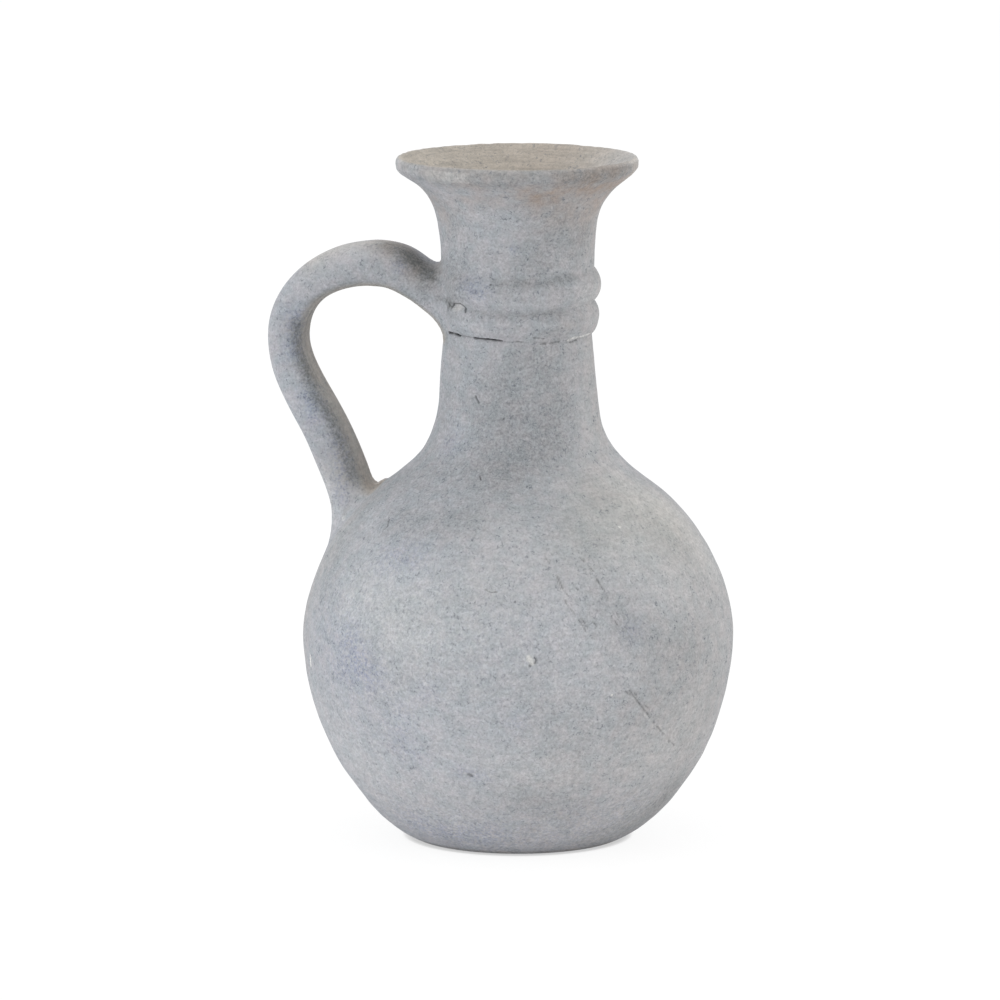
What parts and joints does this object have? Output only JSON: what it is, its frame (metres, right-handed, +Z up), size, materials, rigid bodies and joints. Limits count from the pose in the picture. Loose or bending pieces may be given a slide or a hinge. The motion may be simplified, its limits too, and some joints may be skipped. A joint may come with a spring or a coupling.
{
  "type": "pitcher vase",
  "caption": "Fired-clay pitcher vase: near-round belly on a flat foot, banded narrow neck, flared mouth with a rolled lip, and a pulled strap handle from collar to shoulder.",
  "frame": {"origin": "centre of the flat foot, on the vessel's axis", "axes": "+Z up along the vessel's axis, -X towards the handle, Y across the handle"},
  "size_m": [0.1548, 0.1422, 0.226],
  "materials": {
    "fired_clay": "matte, fine sandy grey slip with a brushed stone look"
  },
  "bodies": {
    "root": {"pitcher": "fired_clay"}
  },
  "joints": []
}
